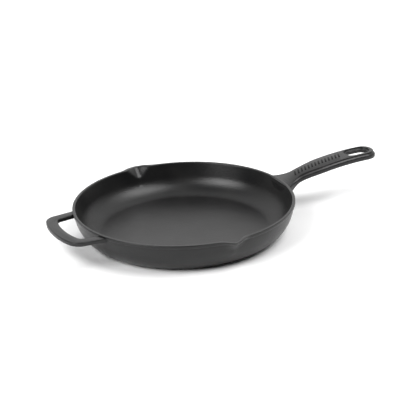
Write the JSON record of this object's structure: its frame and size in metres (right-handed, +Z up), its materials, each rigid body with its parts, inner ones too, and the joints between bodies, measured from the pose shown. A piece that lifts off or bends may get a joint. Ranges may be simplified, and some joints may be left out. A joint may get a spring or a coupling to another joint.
{
  "type": "cast iron skillet",
  "caption": "Round cast iron frying pan with sloping wall, pouring spouts on both sides, a stepped long handle with a hanging slot and a loop helper handle.",
  "frame": {"origin": "centre of the round base, on the face that rests on the hob", "axes": "+X along the long handle, +Z up out of the pan, spouts on -Y and +Y"},
  "size_m": [0.4935, 0.3242, 0.0644],
  "materials": {
    "seasoned_iron": "satin seasoned"
  },
  "bodies": {
    "root": {"cooking_floor": "seasoned_iron", "side_wall": "seasoned_iron", "front_pour_spout": "seasoned_iron", "rear_pour_spout": "seasoned_iron", "long_handle": "seasoned_iron", "helper_handle": "seasoned_iron"}
  },
  "joints": []
}
